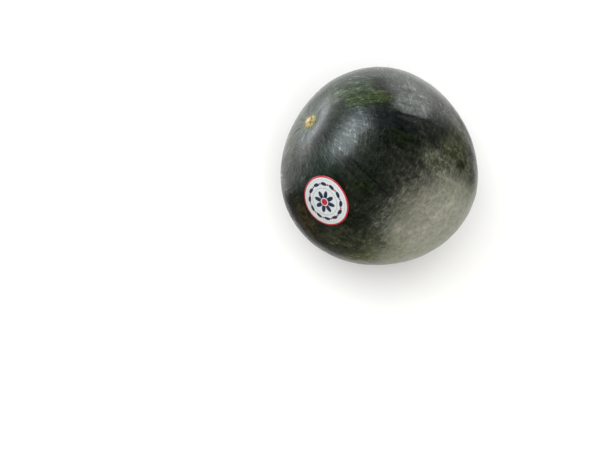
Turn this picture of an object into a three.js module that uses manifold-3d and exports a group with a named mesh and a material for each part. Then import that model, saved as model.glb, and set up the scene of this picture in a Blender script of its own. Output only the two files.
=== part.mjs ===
// A whole dark green watermelon at rest, with a round film label on its side.
// Millimetres, +Z up. The origin is on the surface it rests on, under the middle of the fruit.
import * as THREE from 'three';
import { mergeVertices } from 'three/addons/utils/BufferGeometryUtils.js';
import Module from 'manifold-3d';

const wasm = await Module();
wasm.setup();

// Fruit: mean radius, and how the fruit lies. Its stem end points up and to one side.
const meanRadius = 100;
const stemAzimuth = THREE.MathUtils.degToRad(155);
const stemElevation = THREE.MathUtils.degToRad(34.7);

// Broad form, as heights over the mean sphere. Turns are measured round the stem axis from the
// meridian that passes over the top of the resting fruit. The crest is one low ridge that runs
// from the stem end to the blossom end, and its turn drifts along the way. The ribs draw together
// towards the blossom end by their drift, on the side they aim at.
const blossomFullness = 1.9;
const lobeCount = 3;
const lobeHeight = 3.6;
const lobeTurn = THREE.MathUtils.degToRad(-5);
const ovalHeight = 1.0;
const ovalTurn = THREE.MathUtils.degToRad(-74);
const crestHeight = 1.3;
const crestTurn = THREE.MathUtils.degToRad(21.5);
const crestDrift = -0.15;
const crestWidth = 13;
const crestRounding = 2;
const ribCount = 12;
const ribHeight = 0.15;
const ribTurn = THREE.MathUtils.degToRad(9);
const ribDrift = 0.85;
const ribAim = THREE.MathUtils.degToRad(12);

// Stem end: a broad hollow, a corky button with a pit, and folds that run out from it, deepest
// on the side away from the top.
const stemHollowDepth = 1.8;
const stemHollowRadius = 35;
const stemDimpleDepth = 1.3;
const stemDimpleRadius = 12;
const corkRadius = 8;
const corkHeight = 1.7;
const corkEdge = 1.8;
const corkOval = 0.1;
const corkOvalTurn = THREE.MathUtils.degToRad(-17);
const corkLobes = 5;
const corkLobeShare = 0.06;
const knobHeight = 0.35;
const knobWidth = 2.2;
const knobRing = 5.2;
const pitRadius = 2.6;
const pitDepth = 1.3;
const foldCount = 7;
const foldTurn = THREE.MathUtils.degToRad(19);
const foldDepth = 0.6;
const foldTopShare = 0.1;
const foldUnevenness = 1.3;
const foldReach = 17;
const foldSpread = 8;

// Blossom end: a shallow hollow with a small round scar.
const blossomHollowDepth = 0.9;
const blossomHollowRadius = 12;
const blossomScarRadius = 3.6;
const blossomScarHeight = 0.7;
const blossomScarEdge = 1.1;

// Resting spot: how far the round form is pressed flat.
const restPress = 1.2;

// Label: where its middle lies, its size, and the gap that keeps it a piece of its own.
const labelPolar = THREE.MathUtils.degToRad(51.6);
const labelTurn = THREE.MathUtils.degToRad(-63.1);
const labelRadius = 26;
const labelThickness = 0.3;
const labelGap = 0.3;

// Fineness of the facets.
const skinSides = 72;
const skinRings = 56;
const poleCrowding = 0.88;
const labelSides = 48;
const labelRings = 7;

// The fruit's own axes: the stem axis, the way over the top, and the way round.
const up = new THREE.Vector3(0, 0, 1);
const stemAxis = new THREE.Vector3(
  Math.cos(stemElevation) * Math.cos(stemAzimuth),
  Math.cos(stemElevation) * Math.sin(stemAzimuth),
  Math.sin(stemElevation),
);
const topAxis = up.clone().addScaledVector(stemAxis, -up.dot(stemAxis)).normalize();
const sideAxis = new THREE.Vector3().crossVectors(stemAxis, topAxis);

// 1 at the middle, falling smoothly to 0 over a few widths.
function swell(distance, width) {
  return Math.exp(-((distance / width) ** 2));
}

// 1 inside the radius, 0 outside it, with a smooth edge.
function plateau(distance, radius, edge) {
  return 1 / (1 + Math.exp((4 * (distance - radius)) / edge));
}

// The shortest way from one turn to another.
function turnBetween(turn, other) {
  return Math.atan2(Math.sin(turn - other), Math.cos(turn - other));
}

// The fruit without its two ends. The pear is a third Legendre polynomial, so it is fuller towards
// the blossom end and as long as it would be without it.
function broadForm(polar, turn) {
  const along = Math.cos(polar);
  const across = Math.sin(polar);
  const pear = (-blossomFullness * (5 * along ** 3 - 3 * along)) / 2;
  const lobes = lobeHeight * across ** 3 * Math.cos(lobeCount * (turn - lobeTurn));
  const oval = ovalHeight * across ** 2 * Math.cos(2 * (turn - ovalTurn));
  const crestHere = crestTurn + crestDrift * (polar - Math.PI / 2);
  const offCrest = Math.hypot(meanRadius * across * turnBetween(turn, crestHere), crestRounding);
  const crest = crestHeight * across ** 2 * Math.exp((crestRounding - offCrest) / crestWidth);
  const drawIn = ribDrift * Math.sin(turn - ribAim) * (1 - along) / 2;
  const ribs = ribHeight * across ** 2 * Math.cos(ribCount * (turn + drawIn - ribTurn));
  return meanRadius + pear + lobes + oval + crest + ribs;
}

function stemEnd(polar, turn) {
  const out = meanRadius * polar;
  const hollow = -stemHollowDepth * swell(out, stemHollowRadius);
  const dimple = -stemDimpleDepth * swell(out, stemDimpleRadius);
  const oval = corkOval * Math.cos(2 * (turn - corkOvalTurn));
  const ragged = 1 + oval + corkLobeShare * Math.cos(corkLobes * turn);
  const cork = corkHeight * plateau(out, corkRadius * ragged, corkEdge);
  const knobs = knobHeight * swell(out - knobRing, knobWidth) * Math.cos(corkLobes * turn + 1);
  const pit = -pitDepth * swell(out, pitRadius);
  const folds = Math.cos(foldCount * (turn - foldTurn) + foldUnevenness * Math.sin(2 * turn)) ** 3;
  const share = THREE.MathUtils.lerp(foldTopShare, 1, Math.sin(turn / 2) ** 2);
  const creases = -foldDepth * share * swell(out - foldReach, foldSpread) * Math.max(0, folds);
  return hollow + dimple + cork + knobs + pit + creases;
}

function blossomEnd(polar) {
  const out = meanRadius * (Math.PI - polar);
  const hollow = -blossomHollowDepth * swell(out, blossomHollowRadius);
  const scar = blossomScarHeight * plateau(out, blossomScarRadius, blossomScarEdge);
  return hollow + scar;
}

function skinRadius(polar, turn) {
  return broadForm(polar, turn) + stemEnd(polar, turn) + blossomEnd(polar);
}

function directionAt(polar, turn) {
  return new THREE.Vector3()
    .addScaledVector(stemAxis, Math.cos(polar))
    .addScaledVector(topAxis, Math.sin(polar) * Math.cos(turn))
    .addScaledVector(sideAxis, Math.sin(polar) * Math.sin(turn));
}

// The point on the skin in a given direction from the middle, lifted off it by some height.
function skinPoint(direction, lift) {
  const polar = Math.acos(THREE.MathUtils.clamp(direction.dot(stemAxis), -1, 1));
  const turn = Math.atan2(direction.dot(sideAxis), direction.dot(topAxis));
  return direction.clone().multiplyScalar(skinRadius(polar, turn) + lift);
}

function moveVertices(geometry, move) {
  const places = geometry.attributes.position;
  const point = new THREE.Vector3();
  for (let i = 0; i < places.count; i += 1) {
    point.fromBufferAttribute(places, i);
    const moved = move(point);
    places.setXYZ(i, moved.x, moved.y, moved.z);
  }
}

// Keeps positions alone and joins the vertices that meet at the seam and the poles.
function sewn(geometry) {
  geometry.deleteAttribute('normal');
  geometry.deleteAttribute('uv');
  return mergeVertices(geometry);
}

function asSolid(geometry) {
  return new wasm.Manifold(new wasm.Mesh({
    numProp: 3,
    vertProperties: new Float32Array(geometry.attributes.position.array),
    triVerts: new Uint32Array(geometry.index.array),
  }));
}

function asGeometry(solid) {
  const mesh = solid.getMesh();
  const geometry = new THREE.BufferGeometry();
  geometry.setAttribute('position', new THREE.BufferAttribute(mesh.vertProperties, 3));
  geometry.setIndex(new THREE.BufferAttribute(mesh.triVerts, 1));
  geometry.computeVertexNormals();
  return geometry;
}

// A sphere whose pole is the stem, with rings crowded towards both ends, drawn out to the skin.
function makeRoundFruit() {
  const geometry = new THREE.SphereGeometry(1, skinSides, skinRings);
  moveVertices(geometry, (point) => {
    const share = Math.acos(THREE.MathUtils.clamp(point.y, -1, 1)) / Math.PI;
    const eased = THREE.MathUtils.smoothstep(share, 0, 1);
    const polar = Math.PI * THREE.MathUtils.lerp(share, eased, poleCrowding);
    const turn = Math.atan2(-point.z, point.x);
    return skinPoint(directionAt(polar, turn), 0);
  });
  return sewn(geometry);
}

// The middle of the fruit, set so that the pressed form rests on the ground over the origin.
function restingPlace(geometry) {
  geometry.computeBoundingBox();
  const { min, max } = geometry.boundingBox;
  return new THREE.Vector3(-(min.x + max.x) / 2, -(min.y + max.y) / 2, -min.z - restPress);
}

// Takes away what would lie below the ground, which leaves the flat resting spot.
function pressedFlat(geometry) {
  const ground = new THREE.BoxGeometry(3 * meanRadius, 3 * meanRadius, meanRadius);
  ground.translate(0, 0, -meanRadius / 2);
  return asGeometry(asSolid(geometry).subtract(asSolid(sewn(ground))));
}

// A thin round disc, turned from its section and laid along the skin.
function makeLabelShape() {
  const section = [];
  for (let i = 0; i <= labelRings; i += 1) {
    section.push(new THREE.Vector2((labelRadius * i) / labelRings, 0));
  }
  for (let i = labelRings; i >= 0; i -= 1) {
    section.push(new THREE.Vector2((labelRadius * i) / labelRings, labelThickness));
  }
  const geometry = new THREE.LatheGeometry(section, labelSides);
  const middle = directionAt(labelPolar, labelTurn);
  const across = new THREE.Vector3().crossVectors(middle, stemAxis).normalize();
  const along = new THREE.Vector3().crossVectors(across, middle);
  moveVertices(geometry, (point) => {
    const bend = Math.hypot(point.x, point.z) / meanRadius;
    const heading = Math.atan2(point.z, point.x);
    const direction = middle.clone().multiplyScalar(Math.cos(bend))
      .addScaledVector(across, Math.sin(bend) * Math.cos(heading))
      .addScaledVector(along, Math.sin(bend) * Math.sin(heading));
    return skinPoint(direction, labelGap + point.y);
  });
  return sewn(geometry);
}

const rind = new THREE.MeshStandardMaterial({ color: 0x2c3a2c, roughness: 0.42, metalness: 0 });
const film = new THREE.MeshStandardMaterial({ color: 0xdfe5e4, roughness: 0.3, metalness: 0 });

const roundFruit = makeRoundFruit();
const middle = restingPlace(roundFruit);
roundFruit.translate(middle.x, middle.y, middle.z);
const melon = new THREE.Mesh(pressedFlat(roundFruit), rind);
melon.name = 'melon';

const label = new THREE.Mesh(makeLabelShape(), film);
label.name = 'label';
label.position.copy(middle);

const group = new THREE.Group();
group.add(melon, label);

export default group;
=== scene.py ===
# A whole dark green watermelon at rest on a pale floor, with a round film label on its side.
import math
import random
import bmesh
import bpy
from mathutils import Matrix, Vector, noise


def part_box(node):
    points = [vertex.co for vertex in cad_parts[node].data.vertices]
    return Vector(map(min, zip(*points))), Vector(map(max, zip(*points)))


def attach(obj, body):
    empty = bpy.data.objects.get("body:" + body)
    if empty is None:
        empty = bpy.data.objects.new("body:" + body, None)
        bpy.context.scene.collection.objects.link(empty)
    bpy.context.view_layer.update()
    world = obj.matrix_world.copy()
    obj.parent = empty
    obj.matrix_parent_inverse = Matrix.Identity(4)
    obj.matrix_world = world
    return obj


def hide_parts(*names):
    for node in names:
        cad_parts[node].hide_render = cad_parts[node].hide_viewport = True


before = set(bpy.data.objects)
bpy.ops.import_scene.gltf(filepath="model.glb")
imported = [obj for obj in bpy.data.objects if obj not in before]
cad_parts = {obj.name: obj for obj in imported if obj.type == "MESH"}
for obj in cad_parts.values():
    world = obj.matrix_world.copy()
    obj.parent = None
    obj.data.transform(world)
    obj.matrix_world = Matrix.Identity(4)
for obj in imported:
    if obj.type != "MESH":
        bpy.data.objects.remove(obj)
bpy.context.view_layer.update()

melonLow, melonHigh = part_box("melon")

# the fruit's form, in metres and degrees: the same driving sizes as the solid underneath
fruit = {
    "meanRadius": 0.1,
    "stemAzimuth": 155, "stemElevation": 34.7,
    "blossomFullness": 0.0019,
    "lobeCount": 3, "lobeHeight": 0.0036, "lobeTurn": -5,
    "ovalHeight": 0.001, "ovalTurn": -74,
    "crestHeight": 0.0013, "crestTurn": 21.5, "crestDrift": -0.15, "crestWidth": 0.013,
    "crestRounding": 0.002,
    "ribCount": 12, "ribHeight": 0.00015, "ribTurn": 9, "ribDrift": 0.85, "ribAim": 12,
    "stemHollowDepth": 0.0018, "stemHollowRadius": 0.035,
    "stemDimpleDepth": 0.0013, "stemDimpleRadius": 0.012,
    "foldCount": 7, "foldTurn": 19, "foldDepth": 0.0006, "foldTopShare": 0.1,
    "foldUnevenness": 1.3, "foldReach": 0.017, "foldSpread": 0.008,
    "blossomHollowDepth": 0.0009, "blossomHollowRadius": 0.012,
    "restPress": 0.0012,
}


def stemFrame():
    # the fruit's own axes: over the top, round the side, and out of the stem
    azimuth = math.radians(fruit["stemAzimuth"])
    elevation = math.radians(fruit["stemElevation"])
    flat = math.cos(elevation)
    stem = Vector((flat * math.cos(azimuth), flat * math.sin(azimuth), math.sin(elevation)))
    up = Vector((0, 0, 1))
    top = (up - stem * up.dot(stem)).normalized()
    return top, stem.cross(top), stem


topAxis, sideAxis, stemAxis = stemFrame()


def swell(distance, width):
    # 1 at the middle, falling smoothly to 0 over a few widths
    return math.exp(-(distance / width) ** 2)


def plateau(distance, radius, edge):
    # 1 inside the radius and 0 outside it, with a smooth edge
    return 1 / (1 + math.exp(max(-60, min(60, 4 * (distance - radius) / edge))))


def turnBetween(turn, other):
    # the shortest way from one turn to another
    return math.atan2(math.sin(turn - other), math.cos(turn - other))


def directionAt(polar, turn):
    # which way a place on the skin lies from the middle of the fruit
    across = math.sin(polar)
    return (stemAxis * math.cos(polar) + topAxis * (across * math.cos(turn))
            + sideAxis * (across * math.sin(turn)))


def broadForm(polar, turn):
    # the fruit without its two ends: a full far end, lobes, an oval, one low crest and faint ribs
    along = math.cos(polar)
    across = math.sin(polar)
    pear = -fruit["blossomFullness"] * (5 * along ** 3 - 3 * along) / 2
    lobeAngle = fruit["lobeCount"] * (turn - math.radians(fruit["lobeTurn"]))
    lobes = fruit["lobeHeight"] * across ** 3 * math.cos(lobeAngle)
    oval = fruit["ovalHeight"] * across ** 2 * math.cos(2 * (turn - math.radians(fruit["ovalTurn"])))
    crestTurn = math.radians(fruit["crestTurn"]) + fruit["crestDrift"] * (polar - math.pi / 2)
    away = fruit["meanRadius"] * across * turnBetween(turn, crestTurn)
    offCrest = math.hypot(away, fruit["crestRounding"]) - fruit["crestRounding"]
    crest = fruit["crestHeight"] * across ** 2 * math.exp(-offCrest / fruit["crestWidth"])
    drawIn = fruit["ribDrift"] * math.sin(turn - math.radians(fruit["ribAim"])) * (1 - along) / 2
    ribAngle = fruit["ribCount"] * (turn + drawIn - math.radians(fruit["ribTurn"]))
    ribs = fruit["ribHeight"] * across ** 2 * math.cos(ribAngle)
    return fruit["meanRadius"] + pear + lobes + oval + crest + ribs


def stemEnd(polar, turn):
    # the hollow round the stem, with folds that run out from it
    out = fruit["meanRadius"] * polar
    hollow = -fruit["stemHollowDepth"] * swell(out, fruit["stemHollowRadius"])
    dimple = -fruit["stemDimpleDepth"] * swell(out, fruit["stemDimpleRadius"])
    foldAngle = fruit["foldCount"] * (turn - math.radians(fruit["foldTurn"]))
    folds = max(0, math.cos(foldAngle + fruit["foldUnevenness"] * math.sin(2 * turn)) ** 3)
    share = fruit["foldTopShare"] + (1 - fruit["foldTopShare"]) * math.sin(turn / 2) ** 2
    creases = -fruit["foldDepth"] * share * swell(out - fruit["foldReach"], fruit["foldSpread"]) * folds
    return hollow + dimple + creases


def blossomEnd(polar):
    out = fruit["meanRadius"] * (math.pi - polar)
    return -fruit["blossomHollowDepth"] * swell(out, fruit["blossomHollowRadius"])


def rindRadius(polar, turn):
    return broadForm(polar, turn) + stemEnd(polar, turn) + blossomEnd(polar)


def finished(shape, name, material, shift=None):
    # turns a bmesh into an object at the origin, with its place in its mesh
    if shift is not None:
        bmesh.ops.translate(shape, verts=shape.verts, vec=shift)
    mesh = bpy.data.meshes.new(name)
    shape.to_mesh(mesh)
    shape.free()
    piece = bpy.data.objects.new(name, mesh)
    bpy.context.scene.collection.objects.link(piece)
    mesh.materials.append(material)
    return piece


# one wire of a shader, which adds its own maths nodes
class Wire:
    def __init__(self, tree, socket=None):
        self.tree = tree
        self.socket = socket

    def node(self, kind, settings=None, inputs=None, output=0):
        made = self.tree.nodes.new(kind)
        for name, value in (settings or {}).items():
            if name == "stops":
                self.fillRamp(made.color_ramp, value)
            else:
                setattr(made, name, value)
        for name, value in (inputs or {}).items():
            if isinstance(value, Wire):
                self.tree.links.new(value.socket, made.inputs[name])
            else:
                made.inputs[name].default_value = value
        return Wire(self.tree, made.outputs[output])

    def fillRamp(self, ramp, stops):
        while len(ramp.elements) < len(stops):
            ramp.elements.new(0.5)
        for element, (place, colour) in zip(ramp.elements, stops):
            element.position = place
            element.color = (*colour, 1)

    def maths(self, operation, first, second=0.0):
        return self.node("ShaderNodeMath", {"operation": operation}, {0: first, 1: second})

    def __add__(self, other):
        return self.maths("ADD", self, other)

    def __radd__(self, other):
        return self.maths("ADD", other, self)

    def __sub__(self, other):
        return self.maths("SUBTRACT", self, other)

    def __rsub__(self, other):
        return self.maths("SUBTRACT", other, self)

    def __mul__(self, other):
        return self.maths("MULTIPLY", self, other)

    def __rmul__(self, other):
        return self.maths("MULTIPLY", other, self)

    def __truediv__(self, other):
        return self.maths("DIVIDE", self, other)

    def __rtruediv__(self, other):
        return self.maths("DIVIDE", other, self)

    def __pow__(self, other):
        return self.maths("POWER", self, other)

    def __rpow__(self, other):
        return self.maths("POWER", other, self)

    def __abs__(self):
        return self.maths("ABSOLUTE", self)

    def between(self, low, high, toLow=0.0, toHigh=1.0):
        # a smooth step from one level to another
        return self.node("ShaderNodeMapRange", {"interpolation_type": "SMOOTHSTEP"}, {
            "Value": self, "From Min": low, "From Max": high, "To Min": toLow, "To Max": toHigh})

    def mixed(self, factor, first, second):
        # from the first colour to the second; a fixed colour is three numbers
        ends = [end if isinstance(end, Wire) else (*end, 1) for end in (first, second)]
        return self.node("ShaderNodeMix", {"data_type": "RGBA"}, {0: factor, 6: ends[0], 7: ends[1]}, 2)

    def vector(self, operation, first, second=(0, 0, 0)):
        # a length and a dot product are numbers, on the second output
        output = 1 if operation in ("LENGTH", "DOT_PRODUCT") else 0
        return self.node("ShaderNodeVectorMath", {"operation": operation}, {0: first, 1: second}, output)

    def scaled(self, amount):
        return self.node("ShaderNodeVectorMath", {"operation": "SCALE"}, {0: self, "Scale": amount})

    def parts(self):
        return [self.node("ShaderNodeSeparateXYZ", None, {0: self}, k) for k in range(3)]

    def joined(self, x, y, z):
        return self.node("ShaderNodeCombineXYZ", None, {0: x, 1: y, 2: z})

    def grain(self, scale, detail=3.0, roughness=0.55, distortion=0.0):
        # noise read at this place
        return self.node("ShaderNodeTexNoise", None, {
            "Vector": self, "Scale": scale, "Detail": detail,
            "Roughness": roughness, "Distortion": distortion})


def newMaterial(name, settings):
    # an empty principled material with its fixed values on its own sockets
    material = bpy.data.materials.new(name)
    material.use_nodes = True
    tree = material.node_tree
    surface = tree.nodes["Principled BSDF"]
    for socket, value in settings.items():
        surface.inputs[socket].default_value = value
    return material, Wire(tree), surface


def connect(wire, surface, **plugs):
    # plugs what changes over the piece into its shader
    names = {"colour": "Base Color", "roughness": "Roughness", "normal": "Normal", "coat": "Coat Weight"}
    for name, value in plugs.items():
        wire.tree.links.new(value.socket, surface.inputs[names[name]])


def fruitPlace(wire, middle):
    # object coordinates turned and moved into the fruit's own axes: top, side, stem
    turn = Matrix((topAxis, sideAxis, stemAxis))
    place = wire.node("ShaderNodeTexCoord", output=3)
    return wire.node("ShaderNodeMapping", None, {
        0: place, "Location": -(turn @ middle), "Rotation": turn.to_euler()})


skin = {
    "sides": 336, "rings": 280, "poleCrowding": 0.88,
    "dentHeight": 0.00035, "dentSize": 0.035,
    "pebbleHeight": 0.00006, "pebbleSize": 0.006, "pebbleShift": (7, 3, 5),
}


def unevenness(direction):
    # broad dents and low pebbling that a grown rind has
    dent = noise.noise(direction * (fruit["meanRadius"] / skin["dentSize"]))
    pebblePlace = direction * (fruit["meanRadius"] / skin["pebbleSize"])
    pebble = noise.noise(pebblePlace + Vector(skin["pebbleShift"]))
    return skin["dentHeight"] * dent + skin["pebbleHeight"] * pebble


def skinRadius(polar, turn):
    return rindRadius(polar, turn) + unevenness(directionAt(polar, turn))


def makeSkin():
    # a sphere with its pole at the stem and its rings crowded towards both ends, drawn out to the
    # skin, set on the ground over the solid underneath and cut flat where it rests
    shape = bmesh.new()
    bmesh.ops.create_uvsphere(shape, u_segments=skin["sides"], v_segments=skin["rings"], radius=1)
    for point in shape.verts:
        share = math.acos(max(-1, min(1, point.co.z))) / math.pi
        eased = share * share * (3 - 2 * share)
        polar = math.pi * (share + (eased - share) * skin["poleCrowding"])
        turn = math.atan2(point.co.y, point.co.x)
        point.co = directionAt(polar, turn) * skinRadius(polar, turn)
    places = [point.co for point in shape.verts]
    low = Vector([min(place[k] for place in places) for k in range(3)])
    high = Vector([max(place[k] for place in places) for k in range(3)])
    middle = (melonLow + melonHigh - low - high) / 2
    middle.z = melonLow.z - low.z - fruit["restPress"]
    bmesh.ops.translate(shape, verts=shape.verts, vec=middle)
    whole = shape.verts[:] + shape.edges[:] + shape.faces[:]
    bmesh.ops.bisect_plane(shape, geom=whole, plane_co=(0, 0, melonLow.z), plane_no=(0, 0, -1),
                           clear_outer=True)
    border = [edge for edge in shape.edges if edge.is_boundary]
    bmesh.ops.edgeloop_fill(shape, edges=border)
    bmesh.ops.recalc_face_normals(shape, faces=shape.faces)
    for face in shape.faces:
        face.smooth = len(face.verts) <= 4
    for edge in border:
        edge.smooth = False
    return shape, middle


# the rind: its broad colours, darkest first where there are two, and where they lie. A band of colour
# comes in between two angles from the stem, in radians; polar, turn and top are in degrees.
rindLook = {
    "base": ((0.0045, 0.007, 0.0038), (0.0085, 0.011, 0.0066)),
    "bands": [(0.95, 1.25, (0.013, 0.0155, 0.0105)), (0.8, 0.62, (0.012, 0.019, 0.013)),
              # the band from 0.5 to 0.38 is a painted dark reflection: a darker ring round the stem that
              # deepens the gap between two reflections
              (0.5, 0.38, (0.004, 0.007, 0.004)), (0.3, 0.18, (0.013, 0.024, 0.028))],
    # the colour on the far side of the stem is a painted reflection of the lit floor
    "reflectionBehindStem": (0.056, 0.066, 0.046), "collar": (0.08, 0.12, 0.04), "collarReach": (0.14, 0.08),
    "groundPolar": 128, "groundTurn": -27, "groundTop": -5, "groundTopDrift": 0.3,
    "groundReach": (0.505, 0.99),
    "pale": ((0.226, 0.232, 0.172), (0.25, 0.25, 0.198)),
    "paleSide": (0.166, 0.18, 0.084), "paleFar": (0.155, 0.169, 0.104),
    "haze": (0.026, 0.033, 0.024),
    "suture": (0.004, 0.006, 0.006), "sutureWidth": (0.0013, 0.0003),
    "twistStart": 0.2, "twist": 2.6,
    "coat": 0.185, "roughness": 0.33, "bumpStrength": 0.7, "bumpDepth": 0.0004,
}
# grain of the rind: the scale, detail, roughness and distortion of each noise
grains = {
    "drift": (38, 2, 0.5), "jitter": (260, 3, 0.6), "cloud": (28, 3, 0.55),
    "blotch": (75, 3, 0.58, 0.6), "mottle": (210, 3, 0.55, 0.5), "speck": (620, 3, 0.6),
}
# strokes in the wax: how fine they are round the fruit and along it, how they bend, and their noise
strokeGrains = {
    "streak": {"round": 14, "along": 4, "wobble": 0.5, "sway": 1.5, "noise": (1.5, 3, 0.6)},
    "fibre": {"round": 24, "along": 5, "wobble": 0.5, "sway": 2.0, "noise": (1.5, 3, 0.62)},
    "swirl": {"round": 12, "along": 4, "wobble": 0.8, "sway": 2.0, "noise": (1.5, 3, 0.6)},
    "brush": {"round": 6, "along": 2, "wobble": 0.4, "sway": 1.0, "noise": (1.5, 4, 0.6)},
    "scratch": {"round": 8, "along": 40, "wobble": 1.2, "sway": 5.0, "noise": (1.5, 3, 0.6)},
    "worm": {"round": 17, "along": 19, "wobble": 1.6, "sway": 5.0, "noise": (1.5, 2, 0.5, 0.8)},
    "fading": {"round": 3, "along": 3, "wobble": 0.1, "sway": 0.0, "noise": (1.4, 2, 0.5)},
}
# how much each of them lightens the skin, adds to its gloss and stands up
tone = {"strokes": 1.2, "lines": 1.1, "hairs": 0.6, "streak": 3.5, "worm": 2.0,
        "mottle": 2.4, "blotch": 2.4, "speck": 1.8, "level": 0.7}
gloss = {"strokes": 1.8, "lines": 1.3, "mottle": 1.5, "streak": 1.5, "level": 0.9}
relief = {"streak": 0.5, "mottle": 0.35, "strokes": 0.3, "lines": 0.25, "speck": 0.18, "crease": 0.6}
# what a marking and a line are where they say nothing else
usualMarking = {"power": 2.2, "edge": (1.45, 0.58)}
usualLine = {"gaps": (0.3, 0.46)}
# markings: how far from the stem and round from the top, in degrees, half lengths in metres along
# the fruit and round it, how ragged, sharp and strong they are, and their darker and lighter colour
markings = {
    "stemSide": {"polar": 23.5, "turn": 66, "size": (0.013, 0.015), "wobble": 0.5, "strength": 0.85,
                 "dark": (0.05, 0.07, 0.044), "light": (0.094, 0.122, 0.084)},
    # stemBackReflection is a painted reflection: it lightens the rind on the far side of the stem where
    # the lit floor shows in the wax
    "stemBackReflection": {"polar": 20, "turn": 160, "size": (0.0075, 0.0085), "wobble": 0.4, "strength": 0.8,
                 "dark": (0.076, 0.088, 0.07), "light": (0.104, 0.118, 0.096)},
    "greenSide": {"polar": 35, "turn": 54, "size": (0.017, 0.017), "wobble": 0.6, "strength": 0.8,
                  "dark": (0.028, 0.048, 0.017), "light": (0.05, 0.076, 0.038)},
    "edgeShade": {"polar": 51, "turn": 61, "size": (0.012, 0.01), "wobble": 0.5, "strength": 0.75,
                  "dark": (0.002, 0.006, 0.003), "light": (0.01, 0.02, 0.011)},
    # bloomAndReflectionHaze and bloomAndReflectionPatch are pale wax bloom with a painted reflection of
    # the back light in them
    "bloomAndReflectionHaze": {"polar": 65, "turn": 43, "size": (0.0205, 0.029), "wobble": 0.8, "strength": 0.9,
                  "edge": (1.6, 0.4), "dark": (0.062, 0.068, 0.066), "light": (0.104, 0.112, 0.11)},
    "bloomAndReflectionPatch": {"polar": 64, "turn": 31.5, "size": (0.0175, 0.0115), "wobble": 0.5, "strength": 0.88,
                   "power": 3, "edge": (1.25, 0.65),
                   "dark": (0.108, 0.12, 0.114), "light": (0.136, 0.15, 0.143)},
    "topShade": {"polar": 75, "turn": 66, "size": (0.018, 0.011), "wobble": 0.9, "strength": 0.8,
                 "edge": (1.6, 0.35), "dark": (0.002, 0.003, 0.002), "light": (0.009, 0.01, 0.01)},
    "stemShade": {"polar": 22.5, "turn": 117, "size": (0.0095, 0.0085), "wobble": 0.4, "strength": 0.9,
                  "dark": (0.001, 0.003, 0.001), "light": (0.005, 0.01, 0.005)},
    "filmShade": {"polar": 68.5, "turn": -58, "size": (0.011, 0.015), "wobble": 0.5, "strength": 0.8,
                  "dark": (0.0015, 0.003, 0.0008), "light": (0.0048, 0.0078, 0.0022)},
    "greenBand": {"polar": 39.5, "turn": 37.5, "size": (0.0235, 0.0095), "wobble": 0.16, "strength": 0.95,
                  "power": 4, "edge": (1.1, 0.9),
                  "dark": (0.028, 0.043, 0.012), "light": (0.038, 0.055, 0.02)},
    "brownPatch": {"polar": 87, "turn": 45, "size": (0.012, 0.022), "wobble": 0.95, "strength": 0.85,
                   "edge": (1.7, 0.35), "dark": (0.008, 0.009, 0.003), "light": (0.026, 0.024, 0.008)},
    "bluePatch": {"polar": 54, "turn": 15, "size": (0.028, 0.008), "wobble": 0.5, "strength": 0.7,
                  "dark": (0.0025, 0.0042, 0.005), "light": (0.0048, 0.0078, 0.008)},
    "leafPatch": {"polar": 62, "turn": 5, "size": (0.016, 0.009), "wobble": 1.1, "strength": 0.8,
                  "dark": (0.0018, 0.0042, 0.0008), "light": (0.0038, 0.0072, 0.0017)},
    "lowPatch": {"polar": 57, "turn": -33, "size": (0.012, 0.006), "wobble": 1.0, "strength": 0.6,
                 "dark": (0.0036, 0.0085, 0.0014), "light": (0.0075, 0.0145, 0.0028)},
    "warmPatch": {"polar": 75, "turn": -13, "size": (0.013, 0.018), "wobble": 0.6, "strength": 0.6,
                  "dark": (0.015, 0.015, 0.01), "light": (0.032, 0.033, 0.025)},
    "sidePatch": {"polar": 80, "turn": -73, "size": (0.022, 0.024), "wobble": 0.5, "strength": 0.9,
                  "dark": (0.021, 0.024, 0.012), "light": (0.045, 0.05, 0.028)},
    "underPatch": {"polar": 98, "turn": -82, "size": (0.014, 0.024), "wobble": 0.4, "strength": 0.9,
                   "dark": (0.06, 0.064, 0.02), "light": (0.1, 0.106, 0.042)},
    "oliveEdge": {"polar": 62, "turn": -92, "size": (0.024, 0.014), "wobble": 0.7, "strength": 0.75,
                  "edge": (1.6, 0.4), "dark": (0.02, 0.014, 0.004), "light": (0.05, 0.038, 0.015)},
}
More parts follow.
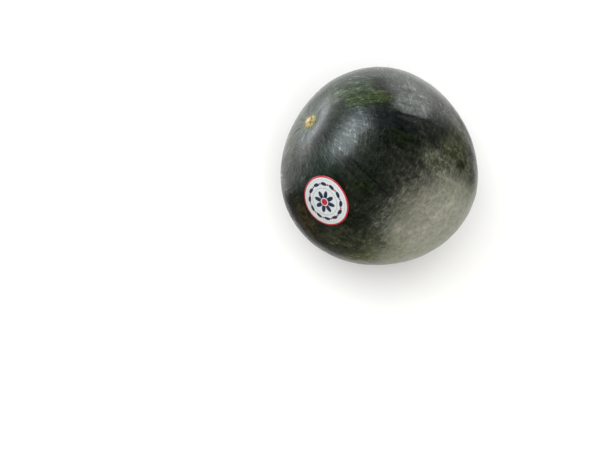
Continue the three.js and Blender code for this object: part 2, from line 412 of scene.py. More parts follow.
# markings that lie over the pale ground spot
overMarkings = {
    "netPatch": {"polar": 87.5, "turn": 3.5, "size": (0.018, 0.011), "wobble": 0.6, "strength": 0.88,
                 "dark": (0.072, 0.077, 0.049), "light": (0.13, 0.138, 0.1)},
    "farPatch": {"polar": 113, "turn": 15, "size": (0.015, 0.012), "wobble": 0.5, "strength": 0.7,
                 "dark": (0.06, 0.068, 0.042), "light": (0.1, 0.112, 0.074)},
    "blushPatch": {"polar": 91, "turn": -39, "size": (0.006, 0.0045), "wobble": 0.6, "strength": 0.6,
                   "dark": (0.175, 0.158, 0.118), "light": (0.27, 0.24, 0.19)},
    "lowerShade": {"polar": 92, "turn": -58, "size": (0.011, 0.009), "wobble": 0.5, "strength": 0.75,
                   "dark": (0.03, 0.036, 0.014), "light": (0.058, 0.066, 0.034)},
    "olivePatch": {"polar": 98, "turn": 18, "size": (0.02, 0.017), "wobble": 0.8, "strength": 0.85,
                   "edge": (1.55, 0.45), "dark": (0.044, 0.049, 0.022), "light": (0.084, 0.091, 0.05)},
    "oliveHeart": {"polar": 94, "turn": 13.5, "size": (0.0065, 0.005), "wobble": 0.4, "strength": 0.65,
                   "dark": (0.022, 0.032, 0.006), "light": (0.032, 0.042, 0.011)},
    "upperBlotch": {"polar": 85, "turn": 22.5, "size": (0.0055, 0.0055), "wobble": 0.7, "strength": 0.85,
                    "dark": (0.003, 0.005, 0.003), "light": (0.01, 0.013, 0.007)},
    "lowerBlotch": {"polar": 102.5, "turn": 10.5, "size": (0.007, 0.005), "wobble": 0.7, "strength": 0.8,
                    "dark": (0.007, 0.012, 0.002), "light": (0.02, 0.028, 0.006)},
    "rimPatch": {"polar": 102, "turn": 35, "size": (0.0135, 0.016), "wobble": 0.9, "strength": 0.95,
                 "edge": (1.6, 0.35), "dark": (0.108, 0.119, 0.078), "light": (0.174, 0.188, 0.13)},
}
# lines that run along the fruit: where they start and end, as degrees from the stem and round from
# the top, how far they reach above and below, and how strong and of what colour they are
seams = {
    # crestSeamAndShade is a dark line on the crest with painted shade spread about 5 mm below it
    "crestSeamAndShade": {"start": (41, 21.8), "end": (79, 24.8), "fade": 0.1, "above": 0.0008, "below": 0.005,
                  "strength": 0.86, "colour": (0.0034, 0.0058, 0.0074)},
    "lowSeam": {"start": (38, -22.0), "end": (78, -27.0), "fade": 0.2, "above": 0.0012, "below": 0.0016,
                "gaps": (0.24, 0.42), "strength": 0.75, "colour": (0.001, 0.0022, 0.0014)},
    "rimSeam": {"start": (86, 23.5), "end": (116, 25.0), "fade": 0.1, "above": 0.0007, "below": 0.001,
                "strength": 0.85, "colour": (0.006, 0.0085, 0.0045)},
    # stemCreaseShade and stemFoldShade are painted shade in the folds that run out from the stem
    "stemCreaseShade": {"start": (6, -148), "end": (22, -154), "fade": 0.04, "above": 0.0009, "below": 0.001,
                   "gaps": (0.12, 0.2), "strength": 0.9, "colour": (0.003, 0.006, 0.0025)},
    "stemFoldShade": {"start": (6, -138), "end": (21, -146), "fade": 0.04, "above": 0.0007, "below": 0.0008,
                 "gaps": (0.12, 0.2), "strength": 0.75, "colour": (0.006, 0.01, 0.0045)},
    "stemStreak": {"start": (6, 104), "end": (17, 103), "fade": 0.04, "above": 0.0011, "below": 0.0012,
                   "gaps": (0.12, 0.2), "strength": 0.85, "colour": (0.003, 0.011, 0.002)},
}
ridges = {
    "paleRidge": {"start": (85, -2.4), "end": (116, 1.6), "fade": 0.15, "above": 0.0022, "below": 0.0032,
                  "strength": 0.36, "colour": (0.25, 0.255, 0.205)},
}


def rindMaterial(middle):
    # dark skin under wax: soft-edged markings, growing lines, fine strokes and a pale ground spot
    material, wire, surface = newMaterial("waxyRind", {
        "IOR": 1.4, "Specular IOR Level": 0.18, "Metallic": 0.0, "Coat IOR": 1.45,
        "Coat Roughness": 0.2})
    place = fruitPlace(wire, middle)
    x, y, z = place.parts()
    across = wire.maths("SQRT", x * x + y * y)
    polar = wire.maths("ARCTAN2", across, z)
    turn = wire.maths("ARCTAN2", y, x)
    ringX = x / across
    ringY = y / across
    drift = place.grain(*grains["drift"]) - 0.5
    jitter = place.grain(*grains["jitter"]) - 0.5

    def drawn(name, ring=(ringX, ringY)):
        # grain that is drawn out along the fruit or round it
        kit = strokeGrains[name]
        bend = jitter * kit["wobble"] + drift * kit["sway"]
        stretched = wire.joined(ring[0] * kit["round"] + bend, ring[1] * kit["round"] - bend,
                                polar * kit["along"] + bend)
        return stretched.grain(*kit["noise"])

    # near the stem the fine strokes turn away from the growing direction, further out they run round
    twist = polar - rindLook["twistStart"]
    twisted = turn + twist * twist * rindLook["twist"]
    streak = drawn("streak")
    fibre = drawn("fibre")
    swirl = drawn("swirl", (wire.maths("COSINE", twisted), wire.maths("SINE", twisted)))
    brush = drawn("brush")
    scratch = drawn("scratch")
    worm = drawn("worm")
    cloud, blotch, mottle, speck = (place.grain(*grains[name])
                                    for name in ("cloud", "blotch", "mottle", "speck"))
    # strokes swirl round the stem and turn to cross scratches outside it, hairs begin further out
    nearStem = polar.between(0.6, 1.25, 1.0, 0.3)
    strokes = (swirl.between(0.45, 0.68) * polar.between(0.95, 0.75) * polar.between(0.25, 0.4)
               + scratch.between(0.45, 0.68) * polar.between(0.75, 0.95))
    lines = fibre.between(0.44, 0.68) * nearStem
    outward = polar.between(0.85, 1.15)
    hairs = abs(worm - 0.5).between(0.034, 0.006) * mottle.between(0.42, 0.58) * outward

    def covered(kit):
        # how fully a soft-edged marking covers the rind round one place
        kit = {**usualMarking, **kit}
        alongOff = (polar - math.radians(kit["polar"])) * (fruit["meanRadius"] / kit["size"][0])
        roundOff = (turn - math.radians(kit["turn"])) * across / kit["size"][1]
        power = kit["power"]
        off = (abs(alongOff) ** power + abs(roundOff) ** power) ** (1 / power)
        wobble = (blotch - 0.5) * 2.4 + (mottle - 0.5) * 0.8 + (fibre - 0.5) * 1.4
        return (off + wobble * kit["wobble"]).between(*kit["edge"]) * kit["strength"]

    def marked(colour, kit):
        # lays a marking in its two tones
        lightness = (mottle * 0.4 + fibre * 0.35 + blotch * 0.25).between(0.41, 0.59)
        return wire.mixed(covered(kit), colour, wire.mixed(lightness, kit["dark"], kit["light"]))

    def lined(kit):
        # how fully a narrow wandering line covers the rind
        kit = {**usualLine, **kit}
        start, end = (Vector((math.radians(v) for v in kit[name])) for name in ("start", "end"))
        lineTurn = (polar - start.x) * ((end.y - start.y) / (end.x - start.x)) + start.y
        below = (lineTurn - turn) * across + (blotch - 0.5) * 0.0042 + (mottle - 0.5) * 0.0015
        cover = below.between(-kit["above"], 0.0) * below.between(kit["below"], kit["below"] * 0.25)
        ends = polar.between(start.x, start.x + kit["fade"]) * polar.between(end.x, end.x - kit["fade"])
        return cover * ends * brush.between(*kit["gaps"]) * kit["strength"]

    # the growing lines draw together towards the blossom end
    drawIn = (1 - z / wire.vector("LENGTH", place)) * (fruit["ribDrift"] / 2)
    lineTurn = turn + drawIn * wire.maths("SINE", turn - math.radians(fruit["ribAim"]))

    # dark jagged sutures run from stem to blossom, one between each two ribs
    firstSuture = math.radians(fruit["ribTurn"] + 180 / fruit["ribCount"])
    wander = (brush - 0.5) * 0.08 + (mottle - 0.5) * 0.05
    step = (lineTurn + wander - firstSuture) * (fruit["ribCount"] / (2 * math.pi))
    offSuture = abs(step - wire.maths("ROUND", step)) * across * (2 * math.pi / fruit["ribCount"])
    suture = offSuture.between(*rindLook["sutureWidth"]) * drawn("fading").between(0.46, 0.6)

    # where the fruit lay on the ground it is pale and dull, and a growing line bounds it
    groundPolar = math.radians(rindLook["groundPolar"])
    groundTurn = math.radians(rindLook["groundTurn"])
    groundAim = (math.sin(groundPolar) * math.cos(groundTurn),
                 math.sin(groundPolar) * math.sin(groundTurn), math.cos(groundPolar))
    facing = wire.vector("DOT_PRODUCT", wire.vector("NORMALIZE", place), groundAim)
    above = lineTurn + (blotch - 0.5) * 0.08 - math.radians(rindLook["groundTop"])
    above = above - (polar - 1.66) * rindLook["groundTopDrift"]
    # on the side that lay down the line is lost
    above = above + (cloud - 0.5) * polar.between(1.95, 2.3) * 2.5
    topEdge = above.between(-0.015, 0.02, 1.0, 0.84) * above.between(-0.2, 0.23, 1.0, 0.42)
    ragged = (blotch - 0.5) * 0.07 + (mottle - 0.5) * 0.03 + (scratch - 0.5) * 0.08
    ground = (facing + ragged).between(*rindLook["groundReach"]) * topEdge

    # broad colours, before any texture
    clouded = cloud.between(0.35, 0.65)
    colour = wire.mixed(clouded, *rindLook["base"])
    for start, full, band in rindLook["bands"]:
        colour = wire.mixed(polar.between(start, full), colour, band)
    # painted reflection: a pale grey band on the far side of the stem
    farSideReflection = (ringX * -0.95 - ringY * 0.3).between(0.45, 0.8) * polar.between(0.55, 0.38)
    colour = wire.mixed(farSideReflection, colour, rindLook["reflectionBehindStem"])
    for kit in markings.values():
        colour = marked(colour, kit)
    pale = wire.mixed(clouded, *rindLook["pale"])
    pale = wire.mixed(turn.between(-0.7, -1.05), pale, rindLook["paleSide"])
    farOut = (polar + (cloud - 0.5) * 0.4).between(1.86, 2.25)
    pale = wire.mixed(farOut, pale, rindLook["paleFar"])
    colour = wire.mixed(ground, colour, pale)
    for kit in overMarkings.values():
        colour = marked(colour, kit)

    # a dull haze lies over the far side
    haze = (cloud * 0.6 + blotch * 0.4).between(0.42, 0.62) * turn.between(0.9, 1.5)
    colour = wire.mixed(haze * polar.between(0.6, 1.0) * 0.7, colour, rindLook["haze"])

    # strokes, hairs and mottles lighten and darken what lies under them, least where it is pale
    texture = (strokes * tone["strokes"] + lines * tone["lines"] + hairs * tone["hairs"]
               + (streak - 0.5) * nearStem * tone["streak"] + (worm - 0.5) * outward * tone["worm"]
               + (mottle - 0.5) * tone["mottle"] + (blotch - 0.5) * tone["blotch"]
               + (speck - 0.5) * tone["speck"] - tone["level"])
    # the texture is calmer too under the patch of bloom and painted reflection
    calm = ground.between(0.0, 0.5, 1.0, 0.36) * (1 - covered(markings["bloomAndReflectionPatch"]) * 0.45)
    colour = colour.scaled(2.0 ** (texture * calm))

    # sutures and lines are creased, ridges only paler
    colour = wire.mixed(suture * (0.45 - ground * 0.45), colour, rindLook["suture"])
    creased = suture * 0.4
    # the crest line and the stem folds among these lines carry painted shade
    for kit in seams.values():
        cover = lined(kit)
        colour = wire.mixed(cover, colour, kit["colour"])
        creased = wire.maths("MAXIMUM", creased, cover)
    for kit in ridges.values():
        colour = wire.mixed(lined(kit), colour, kit["colour"])

    # greener skin round the stem
    collar = (polar + (fibre - 0.5) * 0.1).between(*rindLook["collarReach"])
    colour = wire.mixed(collar * 0.6, colour, rindLook["collar"])

    # the wax is smoothest round the stem, with a dull ring outside that
    dullRing = polar.between(0.27, 0.33) * polar.between(0.46, 0.38)
    smooth = polar.between(0.33, 0.23) * 0.75 - dullRing * 0.4
    shine = (strokes * gloss["strokes"] + lines * gloss["lines"] + smooth
             + (mottle - 0.5) * gloss["mottle"] + (streak - 0.5) * gloss["streak"] - gloss["level"])
    coat = rindLook["coat"] * 2.0 ** shine * (1 - creased * 0.6)
    roughness = rindLook["roughness"] + (mottle - 0.5) * 0.2 - strokes * 0.06 - lines * 0.04
    height = (streak * nearStem * relief["streak"] + mottle * relief["mottle"]
              + strokes * relief["strokes"] + lines * relief["lines"] + speck * relief["speck"]
              - creased * relief["crease"])
    normal = wire.node("ShaderNodeBump", None, {
        "Strength": rindLook["bumpStrength"], "Distance": rindLook["bumpDepth"], "Height": height})
    connect(wire, surface, colour=colour, roughness=roughness, normal=normal, coat=coat)
    return material


def spun(outline, sides):
    # turns an outline of (across, height) points round the Z axis
    shape = bmesh.new()
    points = [shape.verts.new((across, 0, height)) for across, height in outline]
    edges = [shape.edges.new(pair) for pair in zip(points, points[1:])]
    bmesh.ops.spin(shape, geom=points + edges, axis=(0, 0, 1), cent=(0, 0, 0),
                   angle=2 * math.pi, steps=sides, use_merge=True)
    bmesh.ops.remove_doubles(shape, verts=shape.verts, dist=1e-7)
    bmesh.ops.recalc_face_normals(shape, faces=shape.faces)
    for face in shape.faces:
        face.smooth = True
    return shape


def laidOn(point, middle, across, along, radiusOf):
    # where a flat point lies once the piece is laid on the round fruit
    bend = math.hypot(point.x, point.y) / fruit["meanRadius"]
    heading = math.atan2(point.y, point.x)
    direction = (middle * math.cos(bend) + across * (math.sin(bend) * math.cos(heading))
                 + along * (math.sin(bend) * math.sin(heading)))
    polar = math.acos(max(-1, min(1, direction.dot(stemAxis))))
    turn = math.atan2(direction.dot(sideAxis), direction.dot(topAxis))
    return direction * (radiusOf(polar, turn) + point.z)


film = {
    "polar": 51.6, "turn": -63.1,
    "radius": 0.026, "thickness": 0.00014, "lift": 0.00012, "rings": 44, "sides": 160,
    "puckers": 17, "puckerHeight": 0.0001, "puckerReach": 0.006, "puckerSway": 2.2, "swayCount": 3,
    "bubbles": [(0.0105, 0.015, 0.003, 0.00016), (-0.0165, -0.006, 0.0022, 0.00012),
                (0.003, -0.0195, 0.0026, 0.00013)],
}
# what is printed on it, in millimetres from its middle, and its inks
printed = {
    "rimWidth": 1.6, "petals": 8, "petalWaist": 4.4, "petalReach": 7.2, "petalStart": 4.3, "heart": 3.3,
    "leaves": 12, "leafRing": 18.2, "leafLength": 3.4, "leafWidth": 1.8, "leafLean": 0.5, "dot": 1.0,
    "innerLine": 14.0, "outerLine": 22.2, "lineWidth": 0.2, "dashes": 60,
    "softness": 0.12, "bleed": 0.35, "roughness": 0.34, "scuff": 0.25,
    "white": (0.53, 0.565, 0.565), "navy": (0.01, 0.016, 0.04), "red": (0.42, 0.01, 0.028),
}


def filmLift(x, y):
    # puckers round the edge and a few trapped air bubbles
    out = math.hypot(x, y)
    heading = math.atan2(y, x)
    edge = math.exp((out - film["radius"]) / film["puckerReach"])
    sway = film["puckerSway"] * math.sin(film["swayCount"] * heading)
    wave = math.sin(film["puckers"] * heading + sway)
    lift = film["lift"] + film["puckerHeight"] * edge * (0.5 + 0.5 * wave)
    for left, upward, size, height in film["bubbles"]:
        lift += height * swell(math.hypot(x - left, y - upward), size)
    return lift


def makeLabel(material, shift):
    rings = film["rings"]
    reach = [film["radius"] * k / rings for k in range(rings + 1)]
    rounding = film["thickness"] / 2
    outline = [(across, film["thickness"]) for across in reach[:-1]]
    outline += [(film["radius"] - rounding / 2, film["thickness"]), (film["radius"], rounding),
                (film["radius"] - rounding / 2, 0)]
    outline += [(across, 0) for across in reversed(reach[:-1])]
    shape = spun(outline, film["sides"])
    plan = shape.loops.layers.uv.new("plan")
    for face in shape.faces:
        for corner in face.loops:
            corner[plan].uv = (corner.vert.co.x * 1000, corner.vert.co.y * 1000)
    middle = directionAt(math.radians(film["polar"]), math.radians(film["turn"]))
    across = middle.cross(stemAxis).normalized()
    along = across.cross(middle)
    for point in shape.verts:
        point.co.z += filmLift(point.co.x, point.co.y)
        point.co = laidOn(point.co, middle, across, along, skinRadius)
    bmesh.ops.recalc_face_normals(shape, faces=shape.faces)
    return finished(shape, "filmLabel", material, shift)


def labelMaterial():
    # white satin film with a red rim, a navy and red rosette and a ring of leaves and dots
    material, wire, surface = newMaterial("printedFilm", {"IOR": 1.5, "Metallic": 0.0})
    plan = wire.node("ShaderNodeUVMap", {"uv_map": "plan"})
    x, y = plan.parts()[:2]
    out = wire.maths("SQRT", x * x + y * y)
    heading = wire.maths("ARCTAN2", y, x)
    bleed = (plan.grain(1.6, 2, 0.5) - 0.5) * printed["bleed"]

    def inked(distance):
        # full ink inside a shape, with the soft edge of print
        return (distance + bleed).between(printed["softness"], -printed["softness"])

    petals = abs(wire.maths("COSINE", heading * (printed["petals"] / 2)))
    rosette = inked(out - (printed["petalWaist"] + petals * printed["petalReach"]))
    rosette = rosette * (1 - inked(out - printed["petalStart"]))
    heart = inked(out - printed["heart"])
    share = 2 * math.pi / printed["leaves"]

    def offRing(offset):
        # how far round from the nearest of the evenly spaced motifs, in millimetres
        turned = heading / share + offset
        return (turned - wire.maths("ROUND", turned)) * share * out

    beyond = out - printed["leafRing"]
    lean = offRing(0.0) + beyond * printed["leafLean"]
    width = printed["leafWidth"]
    leaf = wire.maths("SQRT", (lean / printed["leafLength"]) ** 2.0 + (beyond / width) ** 2.0)
    leaves = inked(leaf * width - width)
    dotRound = offRing(0.5)
    dots = inked(wire.maths("SQRT", dotRound * dotRound + beyond * beyond) - printed["dot"])
    hairline = inked(abs(out - printed["outerLine"]) - printed["lineWidth"])
    hairline = hairline * wire.maths("SINE", heading * printed["dashes"]).between(-0.2, 0.4)
    ring = inked(abs(out - printed["innerLine"]) - printed["lineWidth"])
    rim = inked(film["radius"] * 1000 - printed["rimWidth"] - out)

    colour = wire.mixed(rosette, printed["white"], printed["navy"])
    colour = wire.mixed(heart, colour, printed["red"])
    colour = wire.mixed(leaves, colour, printed["navy"])
    colour = wire.mixed(dots, colour, printed["red"])
    colour = wire.mixed(wire.maths("MAXIMUM", hairline, ring) * 0.7, colour, printed["navy"])
    colour = wire.mixed(rim, colour, printed["red"])
    roughness = printed["roughness"] + (plan.grain(0.5, 4, 0.65) - 0.5) * printed["scuff"]
    height = plan.grain(0.35, 3, 0.5) + plan.grain(6.0, 2, 0.5) * 0.06
    normal = wire.node("ShaderNodeBump", None, {"Strength": 0.35, "Distance": 0.0002, "Height": height})
    connect(wire, surface, colour=colour, roughness=roughness, normal=normal)
    return material


cork = {
    "radius": 0.008, "skirt": 0.011, "wall": 0.002, "height": 0.0015, "edge": 0.0018,
    "sink": 0.0005, "rings": 60, "sides": 160,
    "oval": 0.1, "ovalTurn": 0.6, "ragged": 0.3, "raggedSize": 0.0036,
    "knobHeight": 0.0008, "knobSize": 0.0024, "crumbHeight": 0.0002, "crumbSize": 0.0007,
    "lobeAside": (-0.0025, 0.0007), "lobeHeight": 0.0006, "lobeRadius": 0.003,
    "crackAside": 0.0034, "crackDepth": 0.0009, "crackWidth": 0.0006, "crackLength": 0.0036,
    "notchAside": (-0.0052, 0.0058), "notchRadius": 0.0015,
    "pitRadius": 0.0017, "pitDepth": 0.0012, "pitAside": (0.0034, -0.0006),
    "nubs": 11, "nubRadius": 0.00038, "nubHeight": 0.0012,
    "tones": [(0.38, (0.06, 0.032, 0.012)), (0.46, (0.26, 0.165, 0.052)),
              (0.54, (0.5, 0.38, 0.16)), (0.66, (0.66, 0.57, 0.31))],
    "lobeTone": (0.7, 0.63, 0.38), "pitTone": (0.022, 0.013, 0.01),
    "rimTone": (0.23, 0.25, 0.07), "rimReach": (0.0064, 0.0086),
    "skirtTone": (0.06, 0.09, 0.03), "skirtReach": (0.0086, 0.0102),
}


def corkHeight(x, y):
    # a lumpy button with a ragged outline, one lobe, a pit and a crack
    out = math.hypot(x, y)
    turn = math.atan2(y, x)
    spot = Vector((x, y, 0))
    ragged = (1 + cork["oval"] * math.cos(2 * turn + cork["ovalTurn"])
              + cork["ragged"] * noise.noise(spot / cork["raggedSize"] + Vector((2, 5, 1))))
    body = plateau(out, cork["radius"] * ragged, cork["edge"])
    knobs = cork["knobHeight"] * noise.noise(spot / cork["knobSize"] + Vector((9, 1, 4)))
    crumbs = cork["crumbHeight"] * noise.noise(spot / cork["crumbSize"] + Vector((4, 8, 2)))
    lobe = cork["lobeHeight"] * swell(math.dist((x, y), cork["lobeAside"]), cork["lobeRadius"])
    pit = cork["pitDepth"] * swell(math.dist((x, y), cork["pitAside"]), cork["pitRadius"])
    crack = cork["crackDepth"] * swell(x - cork["crackAside"], cork["crackWidth"])
    crack = crack * swell(y, cork["crackLength"])
    rough = (knobs + crumbs) * (0.25 + 0.75 * body)
    return cork["height"] * body + rough + lobe - pit - crack - cork["sink"] * (1 - body)


def scarDisc(kit, heightAt):
    # a round disc with a low wall under its edge and its top raised by a height at each place
    rings = kit["rings"]
    outline = [(kit["skirt"] * k / rings, 0.0) for k in range(rings + 1)]
    outline += [(kit["skirt"], -kit["wall"]), (0.0, -kit["wall"])]
    shape = spun(outline, kit["sides"])
    for point in shape.verts:
        if point.co.z > -kit["wall"] / 2:
            point.co.z = heightAt(point.co.x, point.co.y)
    return shape


def makeCork(material, shift):
    shape = scarDisc(cork, corkHeight)
    # torn fibres stand up round the pit
    draw = random.Random(4)
    for k in range(cork["nubs"]):
        heading = 2 * math.pi * (k + draw.uniform(-0.3, 0.3)) / cork["nubs"]
        out = draw.uniform(0.9, 1.5) * cork["pitRadius"]
        x = cork["pitAside"][0] + out * math.cos(heading)
        y = cork["pitAside"][1] + out * math.sin(heading)
        tall = cork["nubHeight"] * draw.uniform(0.5, 1.3)
        lean = Matrix.Rotation(draw.uniform(-0.5, 0.5), 4, Vector((math.cos(heading), 1, 0)))
        seat = Matrix.Translation((x, y, corkHeight(x, y) + tall * 0.3))
        bmesh.ops.create_cone(shape, cap_ends=True, segments=8, radius1=cork["nubRadius"],
                              radius2=cork["nubRadius"] * 0.4, depth=tall, matrix=seat @ lean)
    for point in shape.verts:
        point.co = laidOn(point.co, stemAxis, topAxis, sideAxis, rindRadius)
    bmesh.ops.recalc_face_normals(shape, faces=shape.faces)
    return finished(shape, "stemScar", material, shift)


def corkMaterial(middle):
    # cream and tan cork, dark in its pit and yellow-green at the edge
    material, wire, surface = newMaterial("scarCork", {"IOR": 1.4, "Metallic": 0.0, "Roughness": 0.8})
    place = fruitPlace(wire, middle)
    x, y = place.parts()[:2]
    out = wire.maths("SQRT", x * x + y * y)
    crumb = place.grain(900, 4, 0.65)
    knob = place.grain(320, 3, 0.6)

    def near(spot, radius):
        # 1 round one place of the scar, falling to 0 with a ragged edge
        away = wire.vector("LENGTH", wire.joined(x - spot[0], y - spot[1], 0.0))
        return (away + (crumb - 0.5) * radius).between(radius * 1.2, radius * 0.6)

    colour = wire.node("ShaderNodeValToRGB", {"stops": cork["tones"]}, {0: crumb * 0.45 + knob * 0.55})
    colour = wire.mixed(near(cork["lobeAside"], cork["lobeRadius"]) * 0.75, colour, cork["lobeTone"])
    rim = (out + (knob - 0.5) * 0.006).between(*cork["rimReach"])
    colour = wire.mixed(rim * 0.75, colour, cork["rimTone"])
    skirt = (out + (knob - 0.5) * 0.005).between(*cork["skirtReach"])
    colour = wire.mixed(skirt * 0.8, colour, cork["skirtTone"])
    crack = abs(x - cork["crackAside"] + (knob - 0.5) * 0.004).between(0.0008, 0.0003)
    crack = crack * abs(y).between(cork["crackLength"] * 1.2, cork["crackLength"] * 0.8)
    dark = wire.maths("MAXIMUM", near(cork["pitAside"], cork["pitRadius"]), crack)
    dark = wire.maths("MAXIMUM", dark, near(cork["notchAside"], cork["notchRadius"]))
    colour = wire.mixed(dark * 0.9, colour, cork["pitTone"])
    height = crumb * 0.6 + knob * 0.4
    normal = wire.node("ShaderNodeBump", None, {"Strength": 0.8, "Distance": 0.0004, "Height": height})
    connect(wire, surface, colour=colour, normal=normal)
    return material


button = {
    "radius": 0.0036, "skirt": 0.005, "wall": 0.002, "height": 0.0007, "edge": 0.001,
    "sink": 0.0004, "rings": 32, "sides": 96, "ragged": 0.16, "raggedSize": 0.002,
    "grooveShare": 0.55, "grooveDepth": 0.00022, "grooveWidth": 0.00035,
    "rayCount": 11, "rayDepth": 0.00016, "raySway": 3, "raySize": 0.003,
    "dipDepth": 0.0004, "dipRadius": 0.0009, "crumbHeight": 0.0001, "crumbSize": 0.0005,
    "tones": [(0.36, (0.06, 0.045, 0.025)), (0.5, (0.2, 0.155, 0.085)), (0.64, (0.4, 0.34, 0.21))],
    "rimTone": (0.1, 0.11, 0.05), "rimReach": (0.0028, 0.004),
}


def buttonHeight(x, y):
    # a small scar with one ring groove and fine rays
    out = math.hypot(x, y)
    turn = math.atan2(y, x)
    spot = Vector((x, y, 0))
    ragged = 1 + button["ragged"] * noise.noise(spot / button["raggedSize"])
    body = plateau(out, button["radius"] * ragged, button["edge"])
    offGroove = out - button["grooveShare"] * button["radius"]
    groove = button["grooveDepth"] * swell(offGroove, button["grooveWidth"])
    rayAngle = button["rayCount"] * turn + button["raySway"] * noise.noise(spot / button["raySize"])
    rays = button["rayDepth"] * max(0, math.cos(rayAngle)) ** 2
    dip = button["dipDepth"] * swell(out, button["dipRadius"])
    crumbs = button["crumbHeight"] * noise.noise(spot / button["crumbSize"])
    return (button["height"] + crumbs) * body - groove - rays * body - dip - button["sink"] * (1 - body)


def makeButton(material, shift):
    shape = scarDisc(button, buttonHeight)
    for point in shape.verts:
        point.co = laidOn(point.co, -stemAxis, topAxis, -sideAxis, rindRadius)
    bmesh.ops.recalc_face_normals(shape, faces=shape.faces)
    return finished(shape, "blossomScar", material, shift)


def buttonMaterial(middle):
    # brown cork that turns green at its rim
    material, wire, surface = newMaterial("blossomCork", {
        "IOR": 1.4, "Metallic": 0.0, "Roughness": 0.75})
    place = fruitPlace(wire, middle)
    x, y = place.parts()[:2]
    out = wire.maths("SQRT", x * x + y * y)
    crumb = place.grain(1200, 4, 0.65)
    patchy = place.grain(420, 2, 0.5)
    colour = wire.node("ShaderNodeValToRGB", {"stops": button["tones"]},
                       {0: crumb * 0.6 + patchy * 0.4})
    rim = (out + (patchy - 0.5) * 0.0016).between(*button["rimReach"])
    colour = wire.mixed(rim * 0.7, colour, button["rimTone"])
    normal = wire.node("ShaderNodeBump", None, {"Strength": 0.7, "Distance": 0.0003, "Height": crumb})
    connect(wire, surface, colour=colour, normal=normal)
    return material


camera = {
    "lens": 85, "elevation": 78, "reach": 1.4396,
    "besides": 0.081, "above": 0.0579,  # how far right of and above the middle of view the fruit lies
}


def makeCamera(middle):
    elevation = math.radians(camera["elevation"])
    back = Vector((0, -math.cos(elevation), math.sin(elevation)))
    upward = Vector((0, math.sin(elevation), math.cos(elevation)))
    lens = bpy.data.cameras.new("camera")
    lens.lens = camera["lens"]
    eye = bpy.data.objects.new("camera", lens)
    eye.location = (middle + back * camera["reach"] - Vector((camera["besides"], 0, 0))
                    - upward * camera["above"])
    eye.rotation_euler = (math.radians(90 - camera["elevation"]), 0, 0)
    bpy.context.scene.collection.objects.link(eye)
    bpy.context.scene.camera = eye


# softboxes: they light the scene but don't show in the wax
lights = {
    "sky": {"azimuth": 100, "elevation": 88, "reach": 2.2, "size": (3.4, 3.4), "radiance": 2.6,
            "colour": (1.0, 1.0, 1.0)},
    "key": {"azimuth": 150, "elevation": 50, "reach": 1.8, "size": (1.6, 1.0), "radiance": 1.5,
            "colour": (0.98, 0.99, 1.0)},
    "fill": {"azimuth": -80, "elevation": 42, "reach": 2.0, "size": (1.6, 1.0), "radiance": 3.0,
             "colour": (1.0, 0.975, 0.92)},
}
# panels: they only show in the wax. Each is a patch of sky or of floor, so many degrees wide, and
# fades over its soft share of every side.
panels = {
    "window": {"azimuth": 144.5, "spread": 80, "elevation": (21.5, 52), "reach": 1.8,
               "radiance": 17.5, "soft": (0.55, 0.5), "colour": (0.93, 1.0, 1.06)},
    "sideGlow": {"azimuth": 147, "spread": 54, "ground": (0.35, 1.0), "radiance": 13.5,
                 "soft": (0.5, 0.3), "colour": (0.96, 1.0, 0.98)},
    "topGlow": {"azimuth": 108, "spread": 130, "ground": (0.12, 0.52), "radiance": 1.5,
                "soft": (0.25, 0.25), "colour": (0.97, 1.0, 0.96)},
    "backGlow": {"azimuth": 66, "spread": 44, "ground": (0.25, 1.6), "radiance": 3.0,
                 "soft": (0.5, 0.4), "colour": (0.98, 1.0, 0.97)},
    "rightCard": {"azimuth": 12, "spread": 56, "ground": (0.16, 1.7), "radiance": 0.08,
                  "soft": (0.2, 0.06), "colour": (1.0, 1.0, 1.0)},
    "frontCard": {"azimuth": -132, "spread": 92, "ground": (0.118, 1.4), "radiance": 0.08,
                  "soft": (0.2, 0.06), "colour": (1.0, 1.0, 1.0)},
}
panelRise = 0.004  # how high a panel lies over the floor
panelSquares = (24, 12)


def towards(azimuth, elevation):
    # the way to a place in the sky, from angles in radians
    flat = math.cos(elevation)
    return Vector((flat * math.cos(azimuth), flat * math.sin(azimuth), math.sin(elevation)))


def makeLights(middle):
    for name, kit in lights.items():
        lamp = bpy.data.lights.new(name, "AREA")
        lamp.shape = "RECTANGLE"
        lamp.size, lamp.size_y = kit["size"]
        lamp.energy = kit["radiance"] * math.pi * lamp.size * lamp.size_y
        lamp.color = kit["colour"]
        holder = bpy.data.objects.new(name, lamp)
        aim = towards(math.radians(kit["azimuth"]), math.radians(kit["elevation"]))
        holder.location = middle + aim * kit["reach"]
        holder.rotation_euler = aim.to_track_quat("Z", "Y").to_euler()
        holder.visible_camera = False
        holder.visible_glossy = False
        bpy.context.scene.collection.objects.link(holder)


def panelMaterial(name, kit):
    # light that fades to nothing at the panel's edges, so that they can't be made out
    material, wire, surface = newMaterial(name, {
        "Base Color": (0, 0, 0, 1), "Specular IOR Level": 0.0,
        "Emission Color": (*kit["colour"], 1), "Emission Strength": kit["radiance"]})
    across, along = wire.node("ShaderNodeUVMap", {"uv_map": "plan"}).parts()[:2]
    fade = (1 - abs(across)).between(0.0, kit["soft"][0]) * (1 - abs(along)).between(0.0, kit["soft"][1])
    wire.tree.links.new(fade.socket, surface.inputs["Alpha"])
    return material


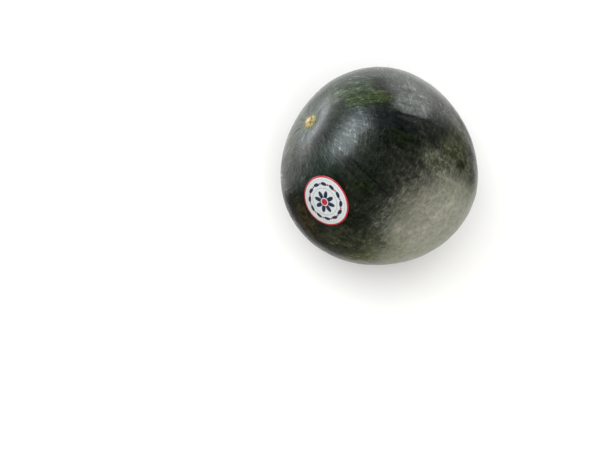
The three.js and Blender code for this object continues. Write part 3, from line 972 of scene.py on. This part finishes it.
def panelPoint(kit, middle, across, along):
    # a place on the panel, from -1 to 1 each way
    azimuth = math.radians(kit["azimuth"] - across * kit["spread"] / 2)
    if "ground" in kit:
        near, far = kit["ground"]
        reach = near + (far - near) * (along + 1) / 2
        x = middle.x + reach * math.cos(azimuth)
        y = middle.y + reach * math.sin(azimuth)
        return Vector((x, y, panelRise))
    low, high = kit["elevation"]
    elevation = math.radians(low + (high - low) * (along + 1) / 2)
    return middle + towards(azimuth, elevation) * kit["reach"]


def makePanels(middle):
    for name, kit in panels.items():
        shape = bmesh.new()
        bmesh.ops.create_grid(shape, x_segments=panelSquares[0], y_segments=panelSquares[1], size=1)
        plan = shape.loops.layers.uv.new("plan")
        for face in shape.faces:
            for corner in face.loops:
                corner[plan].uv = corner.vert.co.xy
        for point in shape.verts:
            point.co = panelPoint(kit, middle, point.co.x, point.co.y)
        panel = finished(shape, name, panelMaterial(name, kit))
        panel.visible_camera = False
        panel.visible_diffuse = False
        panel.visible_shadow = False


# the studio: its brightness from the horizon up, the side that is dark, how much of its light that
# side keeps, and the backdrop that shows beyond the floor
studio = {
    "sky": [(0.0, (0.64, 0.64, 0.63)), (0.06, (0.43, 0.43, 0.43)), (0.2, (0.2, 0.2, 0.2)),
            (0.45, (0.05, 0.05, 0.055)), (1.0, (0.02, 0.02, 0.022))],
    "darkSide": (-0.55, -0.83), "darkShare": 0.1, "backdrop": (0.93, 0.93, 0.93),
    "floorRadius": 3.0, "floorDrop": 0.0002, "floorColour": (0.88, 0.88, 0.87, 1),
}


def makeWorld():
    # dark overhead and on one side, and pale towards the horizon
    world = bpy.data.worlds.new("studio")
    bpy.context.scene.world = world
    world.use_nodes = True
    tree = world.node_tree
    tree.nodes.clear()
    wire = Wire(tree)
    direction = wire.node("ShaderNodeTexCoord", output=0)
    dx, dy, height = direction.parts()
    sky = wire.node("ShaderNodeValToRGB", {"stops": studio["sky"]}, {0: height})
    facing = dx * studio["darkSide"][0] + dy * studio["darkSide"][1]
    mirrored = sky.scaled(facing.between(-0.2, 0.7, 1.0, studio["darkShare"]))
    seen = wire.node("ShaderNodeLightPath", output=0)
    colour = wire.mixed(seen, mirrored, studio["backdrop"])
    background = tree.nodes.new("ShaderNodeBackground")
    output = tree.nodes.new("ShaderNodeOutputWorld")
    tree.links.new(colour.socket, background.inputs["Color"])
    tree.links.new(background.outputs[0], output.inputs["Surface"])


def makeFloor():
    shape = bmesh.new()
    bmesh.ops.create_circle(shape, cap_ends=True, segments=96, radius=studio["floorRadius"])
    material = newMaterial("paleFloor", {
        "Base Color": studio["floorColour"], "Roughness": 0.7, "Specular IOR Level": 0.0})[0]
    floor = finished(shape, "floor", material, Vector((0, 0, -studio["floorDrop"])))


def dress(piece, node):
    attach(piece, "root")
    if node:
        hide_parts(node)


print("rind")
rindShape, middle = makeSkin()
dress(finished(rindShape, "rind", rindMaterial(middle)), "melon")

print("stem scar and blossom scar")
dress(makeCork(corkMaterial(middle), middle), None)
dress(makeButton(buttonMaterial(middle), middle), None)

print("label")
dress(makeLabel(labelMaterial(), middle), "label")

print("stage")
makeFloor()
makeCamera(middle)
makeLights(middle)
makePanels(middle)
makeWorld()
bpy.context.scene.view_settings.view_transform = "Standard"
